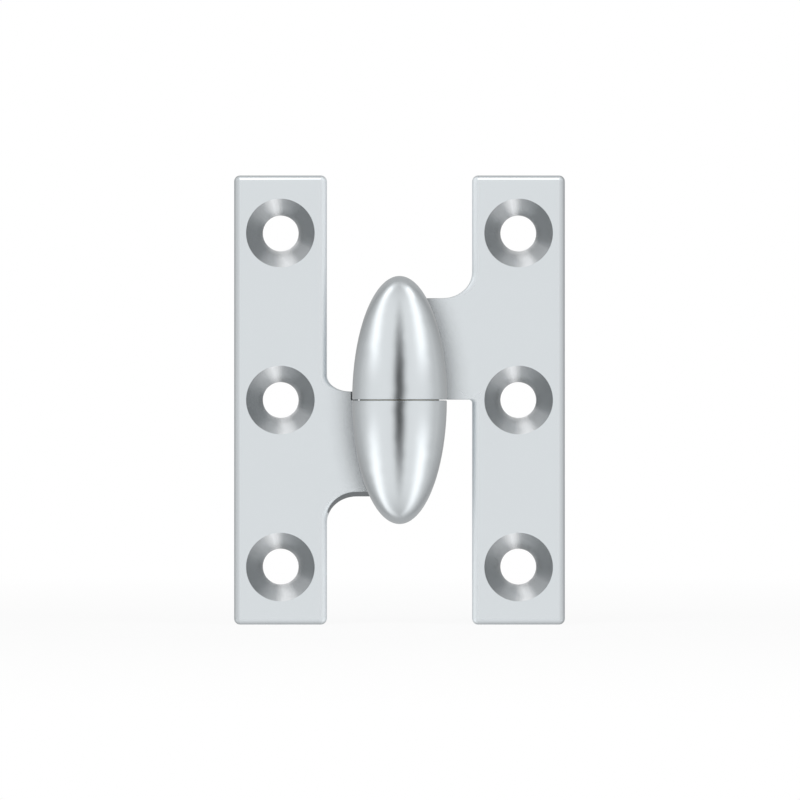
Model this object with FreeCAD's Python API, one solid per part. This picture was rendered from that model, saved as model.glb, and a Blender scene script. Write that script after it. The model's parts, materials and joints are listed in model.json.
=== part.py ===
import FreeCAD, Part
import math
import os

# Olive-knuckle lift-off hinge for a light door, opened flat. All sizes are in millimetres.
# Z is the pin axis, with the origin at the middle of the olive. The countersunk faces look
# towards -Y. The jamb leaf, which holds the pin, is at -X and the door leaf is at +X.

# Plates of the two leaves
leaf_height = 63.5
leaf_width = 13.1
leaf_thickness = 3.175
leaf_inset = 10.28
closed_gap = 1.0
plate_corner_radius = 0.85
plate_edge_radius = 0.85

# Countersunk screw holes
screw_count = 3
screw_pitch = 23.6
screw_hole_diameter = 5.08
countersink_diameter = 9.7
countersink_angle = 82.0

# Olive, parted at a seam in its middle
olive_diameter = 13.38
olive_height = 35.04
olive_rings = 7
seam_gap = 0.12
seam_edge_break = 0.1

# Arms that carry the halves of the olive
door_arm_height = 14.33
jamb_arm_height = 14.17
arm_lap = 1.26
arm_lap_clearance = 0.22
arm_edge_radius = 0.12
blend_length = 4.2
blend_height = 3.7
lap_blend_length = 3.3
lap_blend_height = 2.3
square_corner_radius = 0.5
underside_drop = 0.7

# Pin, pressed into the lower half of the olive
pin_diameter = 4.76
pin_seated_length = 11.0
pin_free_length = 11.0
pin_interference = 0.005
pin_running_clearance = 0.05
pin_end_clearance = 0.6
pin_chamfer = 0.5
drill_point_angle = 118.0

# Thrust washer, let into the top of the lower half
washer_diameter = 11.2
washer_thickness = 0.8
washer_bore_clearance = 0.12
washer_rim_clearance = 0.2

# Sizes that follow from the ones above
plate_front = closed_gap / 2
olive_radius = olive_diameter / 2
olive_reach = olive_height / 2
pin_radius = pin_diameter / 2
washer_radius = washer_diameter / 2
upper_half_bottom = seam_gap / 2
lower_half_top = -seam_gap / 2
washer_seat = upper_half_bottom - washer_thickness
door_arm_low = upper_half_bottom
door_arm_high = door_arm_low + door_arm_height
jamb_arm_high = lower_half_top + arm_lap
jamb_arm_low = jamb_arm_high - jamb_arm_height

same_place = 1e-6
up = FreeCAD.Vector(0, 0, 1)
backwards = FreeCAD.Vector(0, 1, 0)


def point(x, y, z):
    return FreeCAD.Vector(x, y, z)


def line(start, end):
    return Part.LineSegment(start, end).toShape()


def quarter_ellipse(start, corner, end):
    # Leaves start towards the corner and arrives at end from it.
    curve = Part.BezierCurve()
    curve.setPoles([start, corner, end])
    curve.setWeight(2, math.sqrt(0.5))
    return curve.toShape()


def arm_face(low, high, low_blend, high_blend):
    # Front face of an arm on the +X side, from the pin axis to just inside the plate.
    # A blend is its length along the arm and its height along the plate.
    def at(x, z):
        return point(x, plate_front, z)

    inner = leaf_inset
    inside = leaf_inset + plate_edge_radius
    low_length, low_height = low_blend
    high_length, high_height = high_blend
    plate_low = low - low_height
    plate_high = high + high_height
    edges = [line(at(0, low), at(inner - low_length, low)),
             quarter_ellipse(at(inner - low_length, low), at(inner, low), at(inner, plate_low)),
             line(at(inner, plate_low), at(inside, plate_low)),
             line(at(inside, plate_low), at(inside, plate_high)),
             line(at(inside, plate_high), at(inner, plate_high)),
             quarter_ellipse(at(inner, plate_high), at(inner, high), at(inner - high_length, high)),
             line(at(inner - high_length, high), at(0, high)),
             line(at(0, high), at(0, low))]
    return Part.Face(Part.Wire(edges))


def front_radius(place):
    # The plate is well rounded. The rounding fades out along the blends to the arm.
    on_plate = place.x > leaf_inset - same_place
    return plate_edge_radius if on_plate else arm_edge_radius


def edge_roundings(slab):
    # Number of each edge to round, with the radius at its two ends. Edges whose radius changes
    # come first, so that each of them sets the direction of its own chain of tangent edges.
    roundings = []
    for number, edge in enumerate(slab.Edges, start=1):
        first, last = edge.valueAt(edge.FirstParameter), edge.valueAt(edge.LastParameter)
        on_axis = max(first.x, last.x) < same_place
        in_front = max(abs(first.y - plate_front), abs(last.y - plate_front)) < same_place
        at_corner = min(abs(first.z), abs(last.z)) > leaf_height / 2 - same_place
        if in_front and not on_axis:
            roundings.append((number, front_radius(first), front_radius(last)))
        elif at_corner and abs(first.y - last.y) > leaf_thickness / 2:
            roundings.append((number, plate_corner_radius, plate_corner_radius))
    return sorted(roundings, key=lambda rounding: rounding[1] == rounding[2])


def rounded_slab(slab):
    document = FreeCAD.newDocument()
    plain = document.addObject("Part::Feature", "plain")
    plain.Shape = slab
    rounded = document.addObject("Part::Fillet", "rounded")
    rounded.Base = plain
    rounded.Edges = edge_roundings(slab)
    document.recompute()
    shape = rounded.Shape.copy()
    FreeCAD.closeDocument(document.Name)
    return shape


def leaf_slab(low, high, low_blend, high_blend, drop):
    # The underside of the arm falls by drop from the front face to the back face.
    plate = Part.makeBox(leaf_width, leaf_thickness, leaf_height,
                         point(leaf_inset, plate_front, -leaf_height / 2))
    face = arm_face(low, high, low_blend, high_blend)
    arms = [face.extrude(point(0, leaf_thickness, -fall)) for fall in {0, drop}]
    return rounded_slab(plate.fuse(arms).removeSplitter())


def screw_hole(x, z):
    hole_radius = screw_hole_diameter / 2
    mouth_radius = countersink_diameter / 2
    slope = math.tan(math.radians(countersink_angle / 2))
    depth = (mouth_radius - hole_radius) / slope
    overrun = closed_gap / 2
    mouth = point(x, plate_front, z)
    lead_in = point(x, plate_front - overrun, z)
    sink = Part.makeCone(mouth_radius + overrun * slope, hole_radius, depth + overrun, lead_in, backwards)
    hole = Part.makeCylinder(hole_radius, leaf_thickness + overrun, mouth, backwards)
    return sink.fuse(hole)


def screw_holes():
    x = leaf_inset + leaf_width / 2
    lowest = -screw_pitch * (screw_count - 1) / 2
    return [screw_hole(x, lowest + screw_pitch * number) for number in range(screw_count)]


def olive_half():
    # The upper half, turned from a quarter ellipse that is drawn in short stretches from the
    # tip down, one for each ring of the surface. The edge at the seam is broken.
    seam = upper_half_bottom
    tip = point(0, 0, olive_reach)
    ellipse = Part.Ellipse(tip, point(olive_radius, 0, 0), point(0, 0, 0))
    last_angle = math.acos((seam + seam_edge_break) / olive_reach)
    angles = [last_angle * number / olive_rings for number in range(olive_rings + 1)]
    rim = ellipse.value(last_angle)
    foot = point(rim.x - seam_edge_break, 0, seam)
    edges = [Part.ArcOfEllipse(ellipse, low, high).toShape() for low, high in zip(angles, angles[1:])]
    edges += [line(rim, foot), line(foot, point(0, 0, seam)), line(point(0, 0, seam), tip)]
    return Part.Face(Part.Wire(edges)).revolve(point(0, 0, 0), up, 360)


def drilled_bore(radius, depth):
    # A blind hole from the seam plane upwards, with the cone that a drill leaves.
    point_depth = radius / math.tan(math.radians(drill_point_angle / 2))
    straight = Part.makeCylinder(radius, depth, point(0, 0, 0))
    cone = Part.makeCone(radius, 0, point_depth, point(0, 0, depth))
    return straight.fuse(cone)


def mirrored(shape, normal):
    return shape.mirror(point(0, 0, 0), normal)


def door_leaf():
    slab = leaf_slab(door_arm_low, door_arm_high,
                     (square_corner_radius, square_corner_radius), (blend_length, blend_height), 0)
    bore = drilled_bore(pin_radius + pin_running_clearance,
                        upper_half_bottom + pin_free_length + pin_end_clearance)
    casting = slab.fuse(olive_half()).removeSplitter()
    return casting.cut([bore] + screw_holes())


def jamb_leaf():
    # Modelled on the +X side like the door leaf, then turned over to -X.
    slab = leaf_slab(jamb_arm_low, jamb_arm_high,
                     (blend_length, blend_height), (lap_blend_length, lap_blend_height), underside_drop)
    relief_radius = olive_radius + arm_lap_clearance
    relief = Part.makeCylinder(relief_radius, arm_lap + lap_blend_height, point(0, 0, lower_half_top))
    washer_pocket = Part.makeCylinder(washer_radius + washer_rim_clearance,
                                      lower_half_top - washer_seat, point(0, 0, washer_seat))
    bore_depth = pin_seated_length - washer_seat + pin_end_clearance
    bore = mirrored(drilled_bore(pin_radius - pin_interference, bore_depth), up)
    lower_half = mirrored(olive_half(), up)
    casting = slab.cut(relief).fuse(lower_half).removeSplitter()
    finished = casting.cut([washer_pocket, bore] + screw_holes())
    return mirrored(finished, point(1, 0, 0))


def hinge_pin():
    low = washer_seat - pin_seated_length
    high = upper_half_bottom + pin_free_length
    end_radius = pin_radius - pin_chamfer
    profile = Part.makePolygon([point(0, 0, low), point(end_radius, 0, low),
                                point(pin_radius, 0, low + pin_chamfer),
                                point(pin_radius, 0, high - pin_chamfer),
                                point(end_radius, 0, high), point(0, 0, high), point(0, 0, low)])
    return Part.Face(profile).revolve(point(0, 0, 0), up, 360)


def thrust_washer():
    seat = point(0, 0, washer_seat)
    disc = Part.makeCylinder(washer_radius, washer_thickness, seat)
    return disc.cut(Part.makeCylinder(pin_radius + washer_bore_clearance, washer_thickness, seat))


pieces = {
    "jamb_leaf": jamb_leaf(),
    "door_leaf": door_leaf(),
    "hinge_pin": hinge_pin(),
    "thrust_washer": thrust_washer(),
}

os.makedirs("parts", exist_ok=True)
for name, shape in pieces.items():
    solid = shape.Solids[0]
    solid.exportStep(os.path.join("parts", name + ".step"))
    print(name, "valid", shape.isValid(), "solids", len(shape.Solids), "volume", round(solid.Volume, 2))
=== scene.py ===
import bmesh
import bpy
import json
from math import hypot, pi, radians
from mathutils import Matrix, Vector


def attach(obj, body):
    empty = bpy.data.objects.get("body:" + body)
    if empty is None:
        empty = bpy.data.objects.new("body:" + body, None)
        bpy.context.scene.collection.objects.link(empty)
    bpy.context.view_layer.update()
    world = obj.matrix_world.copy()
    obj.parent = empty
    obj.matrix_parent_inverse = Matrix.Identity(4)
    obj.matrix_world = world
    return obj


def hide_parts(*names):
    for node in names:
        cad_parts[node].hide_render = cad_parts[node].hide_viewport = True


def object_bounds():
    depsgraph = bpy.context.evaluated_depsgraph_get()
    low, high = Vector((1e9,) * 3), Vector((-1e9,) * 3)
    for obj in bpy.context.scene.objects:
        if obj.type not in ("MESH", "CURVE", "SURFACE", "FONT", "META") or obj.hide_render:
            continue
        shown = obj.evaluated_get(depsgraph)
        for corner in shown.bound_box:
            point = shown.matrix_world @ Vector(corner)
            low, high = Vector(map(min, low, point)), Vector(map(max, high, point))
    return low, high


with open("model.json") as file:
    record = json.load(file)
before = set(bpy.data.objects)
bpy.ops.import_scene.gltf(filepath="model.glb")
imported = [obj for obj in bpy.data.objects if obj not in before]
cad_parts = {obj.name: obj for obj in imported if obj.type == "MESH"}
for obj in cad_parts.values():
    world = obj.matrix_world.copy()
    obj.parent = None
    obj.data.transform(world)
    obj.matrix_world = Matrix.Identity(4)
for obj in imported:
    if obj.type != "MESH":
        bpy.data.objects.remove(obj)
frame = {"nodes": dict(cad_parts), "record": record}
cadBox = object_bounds()
scene = bpy.context.scene
scene.view_settings.view_transform = "Standard"
mm = 0.001  # lengths in the settings are in millimetres, and Blender's in metres


# Sizes read from the frame, which place the finishes, the cards and the camera
readingSettings = {
    "onFront": 0.001,  # how far a point of a leaf's front face may lie from its plane
    "nearAxis": 1,     # how far to each side of the pin's axis the olive's tip is looked for
}


def leafPoints(node, keep=lambda point: True):
    return [v.co.copy() for v in frame["nodes"][node].data.vertices if keep(v.co)]


screwMount = [m for m in frame["record"]["mounts"] if m["kind"] == "bolt_pattern"][0]
holeOffset = abs(screwMount["pos_m"][0])
plateFront = min(p.y for p in leafPoints("door_leaf", lambda point: point.x > holeOffset))


def onPlateFront(point):
    return abs(point.y - plateFront) < readingSettings["onFront"] * mm and point.x > holeOffset / 2


def nearAxis(point):
    return abs(point.x) < readingSettings["nearAxis"] * mm


oliveSize = {
    "radius": -min(p.y for p in leafPoints("jamb_leaf")),
    "reach": max(p.z for p in leafPoints("door_leaf", nearAxis)),
}
plateSize = {
    "front": plateFront,
    "inset": 2 * holeOffset - cadBox[1].x,
    "width": 2 * (cadBox[1].x - holeOffset),
    "holeOffset": holeOffset,
    "holePitch": screwMount["dims"]["spacing_y_mm"] * mm,
    "sinkRadius": min(hypot(p.x - holeOffset, p.z) for p in leafPoints("door_leaf", onPlateFront)),
}
print("frame loaded, olive", oliveSize, "plate", plateSize)


# Small helpers for objects and node trees
def addObject(name, data):
    thing = bpy.data.objects.new(name, data)
    scene.collection.objects.link(thing)
    return thing


def emptyTree(owner):
    owner.use_nodes = True
    owner.node_tree.nodes.clear()
    return owner.node_tree


def newMaterial(name):
    material = bpy.data.materials.new(name)
    return material, emptyTree(material)


def plug(tree, socket, value):
    if isinstance(value, bpy.types.NodeSocket):
        tree.links.new(value, socket)
    else:
        socket.default_value = value


def addNode(tree, kind, values=None, **options):
    node = tree.nodes.new(kind)
    for key, value in options.items():
        setattr(node, key, value)
    for key, value in (values or {}).items():
        plug(tree, node.inputs[key], value)
    return node


def calc(tree, operation, first, second=0.0, third=0.0):
    node = addNode(tree, "ShaderNodeMath", {0: first, 1: second, 2: third}, operation=operation)
    return node.outputs[0]


def squared(tree, value):
    return calc(tree, "MULTIPLY", value, value)


def ramp(tree, value, stops):
    node = addNode(tree, "ShaderNodeValToRGB", {"Fac": value})
    elements = node.color_ramp.elements
    while len(elements) < len(stops):
        elements.new(0.5)  # anywhere, as each gets its own place below
    for element, (place, level) in zip(elements, stops):
        element.position = place
        element.color = (level, level, level, 1)
    return node.outputs["Color"]


def signedRamp(tree, value, stops):
    # For a value that runs from -1 to 1
    share = calc(tree, "MULTIPLY_ADD", value, 0.5, 0.5)
    return ramp(tree, share, [((place + 1) / 2, level) for place, level in stops])


def mixColour(tree, share, first, second):
    node = addNode(tree, "ShaderNodeMix", {"Factor": share}, data_type="RGBA")
    for socket, colour in zip([s for s in node.inputs if s.type == "RGBA"], (first, second)):
        plug(tree, socket, (*colour, 1) if isinstance(colour, tuple) else colour)
    return [s for s in node.outputs if s.type == "RGBA"][0]


def coordinates(tree, kind="Object"):
    return addNode(tree, "ShaderNodeTexCoord").outputs[kind]


def split(tree, vector):
    return addNode(tree, "ShaderNodeSeparateXYZ", {0: vector}).outputs


def noise(tree, spot, scale, detail):
    node = addNode(tree, "ShaderNodeTexNoise", {"Vector": spot, "Scale": scale, "Detail": detail})
    return node.outputs["Fac"]


def waves(tree, distance, pitch):
    return calc(tree, "SINE", calc(tree, "MULTIPLY", distance, 2 * pi / (pitch * mm)))


def patchyRoughness(tree, pattern, patternRange, roughness, spread):
    # Goes from spread below the roughness to spread above it over the pattern's range
    patches = addNode(tree, "ShaderNodeMapRange", {
        "Value": pattern, "From Min": patternRange[0], "From Max": patternRange[1],
        "To Min": roughness - spread, "To Max": roughness + spread})
    return patches.outputs["Result"]


def finishMetal(tree, colour, roughness, height, bump, depth):
    relief = addNode(tree, "ShaderNodeBump", {"Height": height, "Strength": bump, "Distance": depth * mm})
    shader = addNode(tree, "ShaderNodeBsdfPrincipled", {
        "Base Color": colour, "Metallic": 1.0, "Roughness": roughness, "Normal": relief.outputs["Normal"]})
    addNode(tree, "ShaderNodeOutputMaterial", {"Surface": shader.outputs["BSDF"]})


# Satin chrome on the plates, the arms and the olive, with painted shade on the arms beside the olive and
# painted light and shade on the leaves' rounded sides. Noise scales here and below are per metre.
satinSettings = {
    "colour": (0.690, 0.727, 0.750),
    "roughness": 0.24,
    "roughnessSpread": 0.02,
    "edgeRoughness": 0.46,     # on the rounded sides and undersides of the leaves
    "edgeTurn": 0.3,           # share of the way sideways or down where a rounding has reached it
    "oliveMargin": 0.03,       # how far past its outline the olive's own finish goes
    # Painted shade on the arms beside the olive: tone by their distance sideways from the olive, darkest
    # against it
    "paintedOliveShadeTones": [
        (0.0, 0.46), (0.25, 0.52), (0.53, 0.57), (0.82, 0.63), (1.1, 0.69), (1.4, 0.75), (1.66, 0.80),
        (1.95, 0.85), (2.23, 0.89), (2.5, 0.92), (2.8, 0.945), (3.1, 0.97), (3.4, 0.985), (4.0, 1.0),
    ],
    # Painted light and shade on the rounded sides, by the way they face, from facing the pin (-1) to facing
    # outwards (1): lighter towards the pin and darker outwards
    "paintedSideTones": [
        (-1.0, 1.3), (-0.85, 1.28), (-0.69, 1.12), (-0.5, 1.03), (-0.35, 1.03), (-0.19, 1.03), (0.0, 1.0),
        (0.05, 0.98), (0.17, 0.90), (0.34, 0.82), (0.5, 0.75), (0.67, 0.76), (0.84, 0.78), (1.0, 0.79),
    ],
    "cloudScale": 140,
    "cloudDetail": 3,
    "cloudRange": (0.3, 0.7),  # what most of the noise lies between
    "grainScale": 5200,
    "grainDetail": 2,
    "grainBump": 0.012,
    "grainDepth": 0.02,
}


def besideOlive(tree, axes):
    # How far a point lies sideways from the olive's surface at the same height and depth
    height = calc(tree, "MULTIPLY", axes["Z"], oliveSize["radius"] / oliveSize["reach"])
    squares = calc(tree, "ADD", squared(tree, height), squared(tree, axes["Y"]))
    belly = calc(tree, "SUBTRACT", oliveSize["radius"] ** 2, squares)
    halfWidth = calc(tree, "SQRT", calc(tree, "MAXIMUM", belly, 0.0))
    return calc(tree, "SUBTRACT", calc(tree, "ABSOLUTE", axes["X"]), halfWidth)


def makeSatinChromePaintedShading():
    s = satinSettings
    material, tree = newMaterial("satinChromePaintedShading")
    spot = coordinates(tree)
    axes, facing = split(tree, spot), split(tree, coordinates(tree, "Normal"))
    outwards = calc(tree, "MULTIPLY", facing["X"], calc(tree, "SIGN", axes["X"]))
    downwards = calc(tree, "MULTIPLY", facing["Z"], -1.0)
    fromOlive = besideOlive(tree, axes)
    onLeaf = calc(tree, "GREATER_THAN", fromOlive, s["oliveMargin"] * mm)

    # A ramp's levels end at 1, so the tones are shares of the brightest one
    reach = s["paintedOliveShadeTones"][-1][0]
    # Painted shade, darkening the arms towards the olive
    paintedOliveShade = ramp(tree, calc(tree, "DIVIDE", fromOlive, reach * mm),
                      [(distance / reach, tone) for distance, tone in s["paintedOliveShadeTones"]])
    # Painted light and shade on the rounded sides
    brightest = max(tone for turn, tone in s["paintedSideTones"])
    paintedSideTone = signedRamp(tree, outwards, [(turn, tone / brightest) for turn, tone in s["paintedSideTones"]])
    plain = 1 / brightest
    # Painted shade beside the olive and painted light and shade of the rounded sides, on the leaves but not
    # on the olive
    change = calc(tree, "SUBTRACT", calc(tree, "MULTIPLY", paintedOliveShade, paintedSideTone), plain)
    tone = calc(tree, "MULTIPLY_ADD", change, onLeaf, plain)
    colour = mixColour(tree, tone, (0.0, 0.0, 0.0), tuple(c * brightest for c in s["colour"]))

    cloud = noise(tree, spot, s["cloudScale"], s["cloudDetail"])
    patches = patchyRoughness(tree, cloud, s["cloudRange"], s["roughness"], s["roughnessSpread"])
    edge = calc(tree, "MAXIMUM", calc(tree, "ABSOLUTE", outwards), downwards)
    rubbed = addNode(tree, "ShaderNodeMapRange", {
        "Value": calc(tree, "MULTIPLY", edge, onLeaf), "From Max": s["edgeTurn"],
        "To Max": s["edgeRoughness"] - s["roughness"]})
    roughness = calc(tree, "ADD", patches, rubbed.outputs["Result"])
    grain = noise(tree, spot, s["grainScale"], s["grainDetail"])
    finishMetal(tree, colour, roughness, grain, s["grainBump"], s["grainDepth"])
    return material


# Turned metal in the countersinks, with the tool's fine rings round each hole. Their colour is painted
# highlight and shade: bright streaks and dark sides by the clock face round each hole.
turnedSettings = {
    # The dark colour is painted shade, and the bright one a painted highlight
    "paintedShadeColour": (0.348, 0.368, 0.379),
    # Painted shade towards the rim: how much of the dark colour is left, by the share of the countersink's
    # radius
    "paintedRimShade": [(0.0, 1.0), (0.55, 1.0), (0.75, 0.95), (0.9, 0.87), (1.0, 0.83)],
    "paintedHighlightColour": (0.98, 0.99, 1.0),
    # Painted highlight and shade by the clock face round a hole: the hour, and how far it is from dark to
    # bright
    "paintedSheen": [
        (0, 0.37), (0.2, 0.13), (0.5, 0.04), (1, 0.0), (1.4, 0.02), (1.75, 0.08), (2.25, 0.14), (3.2, 0.15),
        (3.6, 0.24), (4, 0.54), (4.5, 0.48), (4.75, 0.50), (4.9, 0.61), (5, 0.78), (5.2, 1.0), (6.1, 1.0),
        (6.3, 0.93), (6.8, 0.88), (7, 0.75), (7.3, 0.48), (7.6, 0.27), (8.2, 0.15), (9.7, 0.15), (10, 0.17),
        (10.5, 0.34), (11, 0.36), (11.3, 0.58), (11.55, 0.80), (11.8, 0.67), (12, 0.37),
    ],
    "roughness": 0.2,
    "ringPitch": 0.24,
    "ringBump": 0.10,
    "ringDepth": 0.004,
}


def makeTurnedMetalPaintedSheen(name, side):
    s = turnedSettings
    material, tree = newMaterial(name)
    axes = split(tree, coordinates(tree))
    halfPitch = plateSize["holePitch"] / 2
    x = calc(tree, "SUBTRACT", axes["X"], side * plateSize["holeOffset"])
    z = calc(tree, "WRAP", axes["Z"], halfPitch, -halfPitch)
    distance = calc(tree, "SQRT", calc(tree, "ADD", squared(tree, x), squared(tree, z)))
    # The clock's hand goes round from 0 at the top, through 0.25 on the right, to 1
    turn = calc(tree, "ARCTAN2", calc(tree, "MULTIPLY", x, -1.0), calc(tree, "MULTIPLY", z, -1.0))
    clock = calc(tree, "ADD", calc(tree, "DIVIDE", turn, 2 * pi), 0.5)
    # Painted highlight and shade by the clock face
    paintedSheen = ramp(tree, clock, [(hour / 12, share) for hour, share in s["paintedSheen"]])
    # Painted shade, darker towards the countersink's rim
    left = ramp(tree, calc(tree, "DIVIDE", distance, plateSize["sinkRadius"]), s["paintedRimShade"])
    dark = mixColour(tree, left, (0.0, 0.0, 0.0), s["paintedShadeColour"])
    colour = mixColour(tree, paintedSheen, dark, s["paintedHighlightColour"])
    rings = waves(tree, distance, s["ringPitch"])
    finishMetal(tree, colour, s["roughness"], rings, s["ringBump"], s["ringDepth"])
    return material


# The underside of the jamb leaf's arm, where it looks down, has a dark colour painted as shade, on duller,
# pitted metal
armUndersideSettings = {
    # A dark colour, painted shade under the arm
    "colour": (0.176, 0.195, 0.209),
    "roughness": 0.42,
    "roughnessSpread": 0.08,
    "pitScale": 1400,
    "pitDetail": 4,
    "pitRange": (0, 1),
    "pitBump": 0.25,
    "pitDepth": 0.03,
}


def makeArmUndersidePaintedShade():
    s = armUndersideSettings
    material, tree = newMaterial("armUndersidePaintedShade")
    pits = noise(tree, coordinates(tree), s["pitScale"], s["pitDetail"])
    roughness = patchyRoughness(tree, pits, s["pitRange"], s["roughness"], s["roughnessSpread"])
    finishMetal(tree, (*s["colour"], 1), roughness, pits, s["pitBump"], s["pitDepth"])
    return material


# Ground steel on the pin, and on the washer brass darkened as painted shade of the seam it sits in
groundSettings = {
    "pieces": {
        "hinge_pin": {
            "name": "groundSteel", "colour": (0.60, 0.61, 0.62), "roughness": 0.24, "linePitch": 0.11},
        # Its brass is darkened as painted shade of the seam between the olive's halves
        "thrust_washer": {
            "name": "washerBrassPaintedShade", "colour": (0.40, 0.31, 0.17), "roughness": 0.42, "linePitch": 0.13},
    },
    "roughnessSpread": 0.04,
    "cloudScale": 900,
    "cloudDetail": 4,
    "cloudRange": (0.3, 0.7),
    "lineBump": 0.2,
    "lineDepth": 0.004,
}


def makeGroundMetal(name, colour, roughness, linePitch):
    s = groundSettings
    material, tree = newMaterial(name)
    spot = coordinates(tree)
    cloud = noise(tree, spot, s["cloudScale"], s["cloudDetail"])
    patches = patchyRoughness(tree, cloud, s["cloudRange"], roughness, s["roughnessSpread"])
    lines = waves(tree, split(tree, spot)["Z"], linePitch)
    finishMetal(tree, (*colour, 1), patches, lines, s["lineBump"], s["lineDepth"])
    return material


satinChromePaintedShading = makeSatinChromePaintedShading()
armUndersidePaintedShade = makeArmUndersidePaintedShade()
turnedMetalPaintedSheen = {-1: makeTurnedMetalPaintedSheen("turnedMetalPaintedSheenJamb", -1), 1: makeTurnedMetalPaintedSheen("turnedMetalPaintedSheenDoor", 1)}
print("materials made")


# Each leaf is shown by a copy of its solid with its vertices merged, so that it shades smoothly
leafSettings = {
    "mergeDistance": 0.0002,
    "sharpAngle": 24,       # degrees
    "outsideFrom": 1.004,   # times the olive's size, past which a point is outside it
    # Shares of a face's normal, by which the faces are told apart
    "sinkFront": 0.9,       # a countersink's face looks less to the front or back than this,
    "undersideDown": 0.3,   # and a face of the arm's underside looks down by more than this
    "undersideFront": 0.5,  # and to the front by less than this
}


def inCountersink(face, side):
    centre = face.calc_center_median()
    halfPitch = plateSize["holePitch"] / 2
    x = centre.x - side * plateSize["holeOffset"]
    z = (centre.z + halfPitch) % plateSize["holePitch"] - halfPitch
    return hypot(x, z) < plateSize["sinkRadius"] and abs(face.normal.y) < leafSettings["sinkFront"]


def outsideOlive(spot):
    radius, reach = oliveSize["radius"], oliveSize["reach"]
    return hypot(spot.x / radius, spot.y / radius, spot.z / reach) > leafSettings["outsideFrom"]


def underArm(face, side):
    # The sloping underside of the jamb leaf's arm, and its curve as far as it looks down
    spot = face.calc_center_median()
    onArm = 0 < -spot.x < plateSize["inset"] and spot.z < -oliveSize["reach"] / 2
    looksDown = face.normal.z < -leafSettings["undersideDown"]
    looksForward = face.normal.y < -leafSettings["undersideFront"]
    return side < 0 and onArm and outsideOlive(spot) and looksDown and not looksForward


def finishOf(face, side):
    if inCountersink(face, side):
        return turnedMetalPaintedSheen[side]
    # The arm's underside gets its painted shade
    return armUndersidePaintedShade if underArm(face, side) else satinChromePaintedShading


def makeLeaf(node, name, body, side):
    mesh = frame["nodes"][node].data.copy()
    mesh.name = name
    if "custom_normal" in mesh.attributes:  # stored for the loose triangles, and wrong once they are merged
        mesh.attributes.remove(mesh.attributes["custom_normal"])
    finishes = [satinChromePaintedShading, turnedMetalPaintedSheen[side], armUndersidePaintedShade]
    mesh.materials.clear()
    for material in finishes:
        mesh.materials.append(material)
    bm = bmesh.new()
    bm.from_mesh(mesh)
    bmesh.ops.remove_doubles(bm, verts=bm.verts, dist=leafSettings["mergeDistance"] * mm)
    for face in bm.faces:
        face.smooth = True
        face.material_index = finishes.index(finishOf(face, side))
    for edge in bm.edges:
        edge.smooth = edge.calc_face_angle(pi) < radians(leafSettings["sharpAngle"])
    bm.to_mesh(mesh)
    bm.free()
    leaf = addObject(name, mesh)
    weighted = leaf.modifiers.new("evenShading", "WEIGHTED_NORMAL")
    weighted.keep_sharp = True
    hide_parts(node)
    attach(leaf, body)


makeLeaf("jamb_leaf", "jambLeaf", "root", -1)
makeLeaf("door_leaf", "doorLeaf", "door", 1)
for node, values in groundSettings["pieces"].items():
    frame["nodes"][node].data.materials.clear()
    frame["nodes"][node].data.materials.append(makeGroundMetal(**values))
print("pieces made")


# Stage: a pale floor and a white studio, with a soft box above and one below on each side of the camera
studioSettings = {
    "turn": 3.5,        # degrees about the hinge's own axis
    "lean": (45, 16),   # how strongly the left and the right boxes lean back towards their ends
    "leanBlend": 0.2,   # share of the way sideways within which one lean passes into the other
    # Level of the walls, and what the boxes add to it, by degrees away from the camera's side
    "walls": [
        (0, 1.0), (42, 1.0), (55, 0.95), (66, 0.93), (75, 0.90), (82, 0.86), (90, 0.78), (100, 0.69),
        (113, 0.60), (128, 0.55), (150, 0.55), (165, 0.58), (180, 0.64),
    ],
    "boxes": [
        (0, 0), (41, 0), (46, 0.10), (51, 0.26), (56, 0.46), (61, 0.62), (67, 0.68), (73, 0.58),
        (79, 0.38), (86, 0.18), (94, 0.06), (102, 0), (180, 0),
    ],
    # Shares by the share of the way straight down (-1) or up (1): of all levels, and of the boxes' own
    "upwards": [
        (-1.0, 0.60), (-0.985, 0.63), (-0.94, 0.70), (-0.866, 0.80), (-0.766, 0.91), (-0.6, 1.0),
        (0.64, 1.0), (0.766, 0.96), (0.866, 0.88), (0.94, 0.78), (0.985, 0.70), (1.0, 0.66),
    ],
    "boxReach": [
        (-1.0, 1), (-0.27, 1), (-0.22, 0.8), (-0.17, 0.5), (-0.12, 0.2), (-0.08, 0.06), (0.0, 0),
        (0.11, 0), (0.14, 0.07), (0.18, 0.33), (0.22, 0.62), (0.26, 0.85), (0.31, 1), (1.0, 1),
    ],
    # Straight up and down all walls meet, so there they share one level. The higher the power,
    # the nearer to straight up and down they come together.
    "meetingPower": 4,
    "ambient": 0.55,    # level of the light on what isn't metal
}


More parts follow.
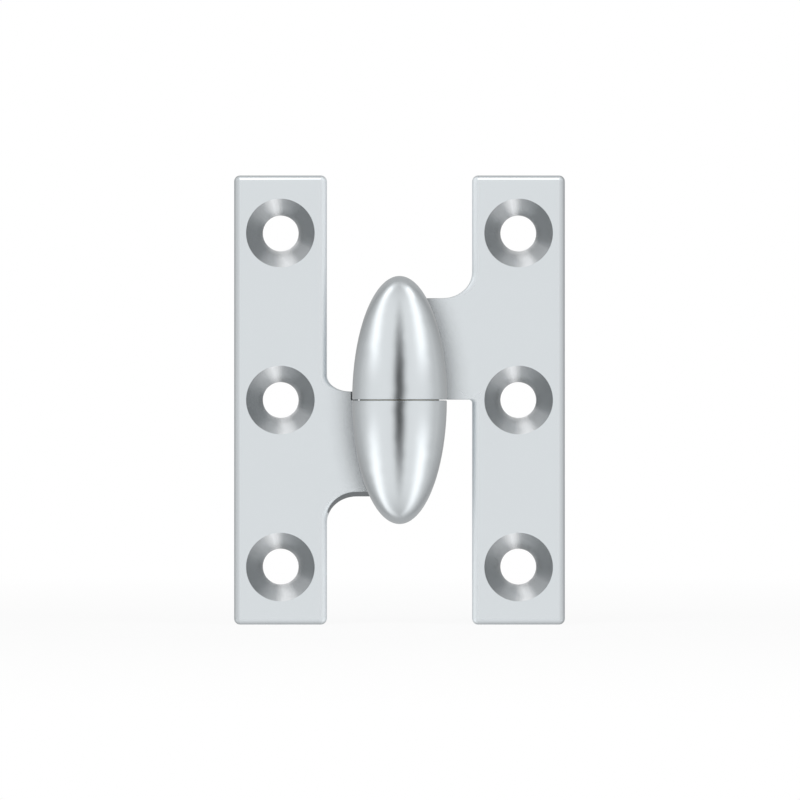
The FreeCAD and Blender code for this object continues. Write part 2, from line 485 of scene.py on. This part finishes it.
def makeStudio():
    s = studioSettings
    scene.world = bpy.data.worlds.new("studio")
    tree = emptyTree(scene.world)
    turned = addNode(tree, "ShaderNodeMapping", {
        "Vector": coordinates(tree, "Generated"), "Rotation": (0, 0, radians(s["turn"]))})
    axes = split(tree, turned.outputs["Vector"])
    sideways = calc(tree, "ABSOLUTE", axes["X"])
    upright = squared(tree, axes["Z"])

    # Angles are shares of half a turn, 180 degrees
    leftLean, rightLean = [lean / 180 for lean in s["lean"]]
    leaning = addNode(tree, "ShaderNodeMapRange", {
        "Value": axes["X"], "From Min": -s["leanBlend"], "From Max": s["leanBlend"],
        "To Min": leftLean, "To Max": rightLean})
    lean = calc(tree, "MULTIPLY", upright, calc(tree, "MULTIPLY", sideways, leaning.outputs["Result"]))
    around = calc(tree, "ARCTAN2", sideways, calc(tree, "MULTIPLY", axes["Y"], -1.0))
    away = calc(tree, "SUBTRACT", calc(tree, "DIVIDE", around, pi), lean)
    wall, box = [ramp(tree, away, [(degrees / 180, level) for degrees, level in s[name]])
                 for name in ("walls", "boxes")]

    meeting = calc(tree, "POWER", upright, s["meetingPower"])
    walls = mixColour(tree, meeting, wall, (1.0, 1.0, 1.0))
    boxes = calc(tree, "MULTIPLY", box, signedRamp(tree, axes["Z"], s["boxReach"]))
    fall = signedRamp(tree, axes["Z"], s["upwards"])
    reflected = calc(tree, "MULTIPLY", calc(tree, "ADD", walls, boxes), fall)

    # The camera sees plain white, and metal sees the walls and the boxes
    path = addNode(tree, "ShaderNodeLightPath").outputs
    seen = calc(tree, "MAXIMUM", path["Is Camera Ray"], path["Is Transmission Ray"])
    plain = addNode(tree, "ShaderNodeMapRange", {"Value": seen, "To Min": s["ambient"], "To Max": 1.0})
    strength = addNode(tree, "ShaderNodeMapRange", {
        "Value": path["Is Glossy Ray"], "To Min": plain.outputs["Result"], "To Max": reflected})
    shade = addNode(tree, "ShaderNodeBackground", {
        "Color": (1, 1, 1, 1), "Strength": strength.outputs["Result"]})
    addNode(tree, "ShaderNodeOutputWorld", {"Surface": shade.outputs["Background"]})


def makeSheet(name, width, height, matrix, material):
    mesh = bpy.data.meshes.new(name)
    bm = bmesh.new()
    bmesh.ops.create_grid(bm, x_segments=1, y_segments=1, size=0.5)  # half of one metre each way
    bmesh.ops.scale(bm, verts=bm.verts, vec=(width * mm, height * mm, 1))
    bmesh.ops.transform(bm, verts=bm.verts, matrix=matrix)
    bm.to_mesh(mesh)
    bm.free()
    mesh.materials.append(material)
    sheet = addObject(name, mesh)
    return sheet


def mixShaders(tree, share, first, second):
    return addNode(tree, "ShaderNodeMixShader", {0: share, 1: first, 2: second}).outputs[0]


def glow(tree, level):
    return addNode(tree, "ShaderNodeEmission", {"Color": (1, 1, 1, 1), "Strength": level}).outputs[0]


def clear(tree):
    return addNode(tree, "ShaderNodeBsdfTransparent").outputs[0]


floorSettings = {
    "side": 3000,
    "colour": (0.86, 0.86, 0.86),
    "glow": 0.9,        # share of the floor beside the hinge that the camera sees as plain white
    "plainFrom": 60,    # distances from the pin's axis between which the rest of it turns white
    "plainTo": 260,
}


def makeFloor():
    s = floorSettings
    underPin = (0, 0, cadBox[0].z)
    material, tree = newMaterial("paleFloor")
    path = addNode(tree, "ShaderNodeLightPath").outputs
    paint = addNode(tree, "ShaderNodeBsdfDiffuse", {"Color": (*s["colour"], 1)}).outputs[0]
    fromPin = addNode(tree, "ShaderNodeVectorMath", {0: coordinates(tree), 1: underPin}, operation="DISTANCE")
    plain = addNode(tree, "ShaderNodeMapRange", {
        "Value": fromPin.outputs["Value"], "From Min": s["plainFrom"] * mm, "From Max": s["plainTo"] * mm,
        "To Min": s["glow"], "To Max": 1.0})
    white = calc(tree, "MULTIPLY", path["Is Camera Ray"], plain.outputs["Result"])
    pale = mixShaders(tree, white, paint, glow(tree, 1.0))
    # Metal sees the white studio in place of the floor
    mirrored = calc(tree, "MAXIMUM", path["Is Glossy Ray"], path["Is Transmission Ray"])
    addNode(tree, "ShaderNodeOutputMaterial", {"Surface": mixShaders(tree, mirrored, pale, clear(tree))})
    makeSheet("floor", s["side"], s["side"], Matrix.Translation(underPin), material)


lampSettings = {
    "key": {"size": (500, 500), "place": (-350, -500, 600), "radiance": 2.2},
    "fill": {"size": (400, 600), "place": (500, -400, 350), "radiance": 1.6},
}


def makeLamp(name, size, place, radiance):
    # Aimed at the hinge, for the soft shadow that it leaves on the floor
    light = bpy.data.lights.new(name, "AREA")
    light.shape = "RECTANGLE"
    light.size, light.size_y = [side * mm for side in size]
    light.energy = radiance * pi * light.size * light.size_y
    lamp = addObject(name, light)
    spot = Vector(place) * mm
    lamp.matrix_world = Matrix.Translation(spot) @ (-spot).to_track_quat("-Z", "Y").to_matrix().to_4x4()
    lamp.visible_camera = lamp.visible_glossy = False


def finishCard(tree, share, level):
    # A card glows by its share, and is clear for the rest
    addNode(tree, "ShaderNodeOutputMaterial", {
        "Surface": mixShaders(tree, share, clear(tree), glow(tree, level))})


def makeCard(name, width, height, matrix, material):
    # A studio card, seen only in the metal
    card = makeSheet(name, width, height, matrix, material)
    card.visible_camera = card.visible_diffuse = card.visible_shadow = False
    card.visible_transmission = False


def uprightAt(y):
    # Stands a sheet up at the depth y, with its face to the front
    return Matrix.Translation((0, y, 0)) @ Matrix.Rotation(pi / 2, 4, "X")


def sightCosine(tree, **direction):
    # Cosine of the angle between the line of sight and the surface's normal, or another direction.
    # At a blend of 0.5, Facing is 1 minus it.
    weight = addNode(tree, "ShaderNodeLayerWeight", {"Blend": 0.5, **direction})
    return calc(tree, "SUBTRACT", 1.0, weight.outputs["Facing"])


flagSettings = {
    "distance": 25.2,   # from the pin's axis, clear of the swinging leaf
    "middle": 0.5,      # height of its darkest part over the seam
    "width": 16,
    "height": 96,
    "level": 0.02,
    # Fades from the middle out to the sides and ends, and through the louvres by the sine of the
    # angle beside the pin
    "acrossFade": [(0.0, 1.0), (0.35, 0.86), (0.62, 0.34), (1.0, 0.0)],
    "alongFade": [(0.0, 1.0), (0.16, 1.0), (0.32, 0.76), (0.5, 0.45), (0.7, 0.2), (1.0, 0.0)],
    "louvreFade": [(0.0, 1.0), (0.1, 1.0), (0.19, 0.0), (1.0, 0.0)],
}


def makeFlag():
    # A soft dark flag before the olive, whose reflection is the olive's dark middle line. It has
    # upright louvres aimed at the pin, so that the olive sees it and the leaves beside it don't.
    s = flagSettings
    material, tree = newMaterial("flagCloth")
    axes = split(tree, coordinates(tree))
    across = calc(tree, "DIVIDE", calc(tree, "ABSOLUTE", axes["X"]), s["width"] * mm / 2)
    rise = calc(tree, "SUBTRACT", axes["Z"], s["middle"] * mm)
    along = calc(tree, "DIVIDE", calc(tree, "ABSOLUTE", rise), s["height"] * mm / 2)
    density = calc(tree, "MULTIPLY", ramp(tree, across, s["acrossFade"]), ramp(tree, along, s["alongFade"]))

    # How far beside the pin the line of sight passes, with its slope up or down left out
    inwards = calc(tree, "MULTIPLY", axes["X"], -1.0)
    pinwards = addNode(tree, "ShaderNodeCombineXYZ", {"X": inwards, "Y": s["distance"] * mm})
    aim = addNode(tree, "ShaderNodeVectorMath", {0: pinwards.outputs["Vector"]}, operation="NORMALIZE")
    upright = addNode(tree, "ShaderNodeCombineXYZ", {"Z": 1.0})
    straight = sightCosine(tree, Normal=aim.outputs["Vector"])
    steep = sightCosine(tree, Normal=upright.outputs["Vector"])
    level = calc(tree, "SUBTRACT", 1.0, squared(tree, steep))
    match = calc(tree, "DIVIDE", squared(tree, straight), level)
    beside = calc(tree, "SQRT", calc(tree, "MAXIMUM", calc(tree, "SUBTRACT", 1.0, match), 0.0))

    finishCard(tree, calc(tree, "MULTIPLY", density, ramp(tree, beside, s["louvreFade"])), s["level"])
    makeCard("flag", s["width"], s["height"], uprightAt(-s["distance"] * mm), material)


leafCardSettings = {
    "gap": 0.15,        # before the leaves' front faces
    # Level by the distance from the pin's axis
    "levels": [
        (0, 0.55), (4.2, 0.54), (5.6, 0.46), (6.8, 0.42), (7.4, 0.47), (8.8, 0.52),
        (12, 0.58), (16.6, 0.67), (22.6, 0.74), (24, 0.76),
    ],
}


def makeLeafCard():
    # A one-sided grey card over the leaves. The olive's flanks show it in place of the leaves,
    # and it is clear from behind, for what the leaves show, and inside the olive's outline.
    s = leafCardSettings
    reach = s["levels"][-1][0]
    material, tree = newMaterial("leafCardPaper")
    axes = split(tree, coordinates(tree))
    fromPin = calc(tree, "DIVIDE", calc(tree, "ABSOLUTE", axes["X"]), reach * mm)
    level = ramp(tree, fromPin, [(place / reach, value) for place, value in s["levels"]])
    across = calc(tree, "DIVIDE", axes["X"], oliveSize["radius"])
    along = calc(tree, "DIVIDE", axes["Z"], oliveSize["reach"])
    squares = calc(tree, "ADD", squared(tree, across), squared(tree, along))
    behind = addNode(tree, "ShaderNodeNewGeometry").outputs["Backfacing"]
    unseen = calc(tree, "MAXIMUM", behind, calc(tree, "LESS_THAN", squares, 1.0))
    finishCard(tree, calc(tree, "SUBTRACT", 1.0, unseen), level)
    height = 2 * cadBox[1].z / mm
    makeCard("leafCard", 2 * reach, height, uprightAt(plateSize["front"] - s["gap"] * mm), material)


topSettings = {
    "above": 5,         # over the leaves' top edges
    "front": -7.2,      # where the cards begin and end, from the pin's axis
    "back": -1.1,
    "overhang": 0.5,    # past each side of a leaf
    "level": 1.8,
    # Share that is seen by how steeply one looks up at the cards (the sine)
    "steepFade": [(0.0, 0.0), (0.28, 0.0), (0.48, 1.0), (1.0, 1.0)],
}


def makeTopCards():
    # Low bright cards over the two leaves, whose reflections are the white lines on their top edges.
    # They fade out edge on, for the front of a leaf that is lifted up behind them.
    s = topSettings
    material, tree = newMaterial("topCardPaper")
    finishCard(tree, ramp(tree, sightCosine(tree), s["steepFade"]), s["level"])
    width, depth = plateSize["width"] / mm + 2 * s["overhang"], s["back"] - s["front"]
    y, z = (s["front"] + s["back"]) / 2 * mm, cadBox[1].z + s["above"] * mm
    for side, name in ((-1, "topCardJamb"), (1, "topCardDoor")):
        place = (side * plateSize["holeOffset"], y, z)
        makeCard(name, width, depth, Matrix.Translation(place), material)


makeStudio()
makeFloor()
for name, values in lampSettings.items():
    makeLamp(name, **values)
makeFlag()
makeLeafCard()
makeTopCards()
print("stage made")


# Camera: square on, far away, at the photograph's scale
cameraSettings = {
    "lens": 300,
    "sensor": 36,
    "pixelSize": 0.14127,         # what one pixel of the photograph spans on the leaves' front faces
    "pixels": 800,                # along each side of the photograph
    "axisPixel": (399.5, 400.0),  # where the middle of the pin's axis lies in it
    "clip": (50, 20000),
}


def makeCamera():
    s = cameraSettings
    distance = s["pixelSize"] * s["pixels"] * s["lens"] / s["sensor"]
    right, down = [(pixel - s["pixels"] / 2) * s["pixelSize"] for pixel in s["axisPixel"]]
    data = bpy.data.cameras.new("camera")
    data.lens = s["lens"]
    data.sensor_width = s["sensor"]
    data.clip_start, data.clip_end = [end * mm for end in s["clip"]]
    camera = addObject("camera", data)
    camera.location = (-right * mm, plateSize["front"] - distance * mm, down * mm)
    camera.rotation_euler = (pi / 2, 0, 0)
    scene.camera = camera


makeCamera()
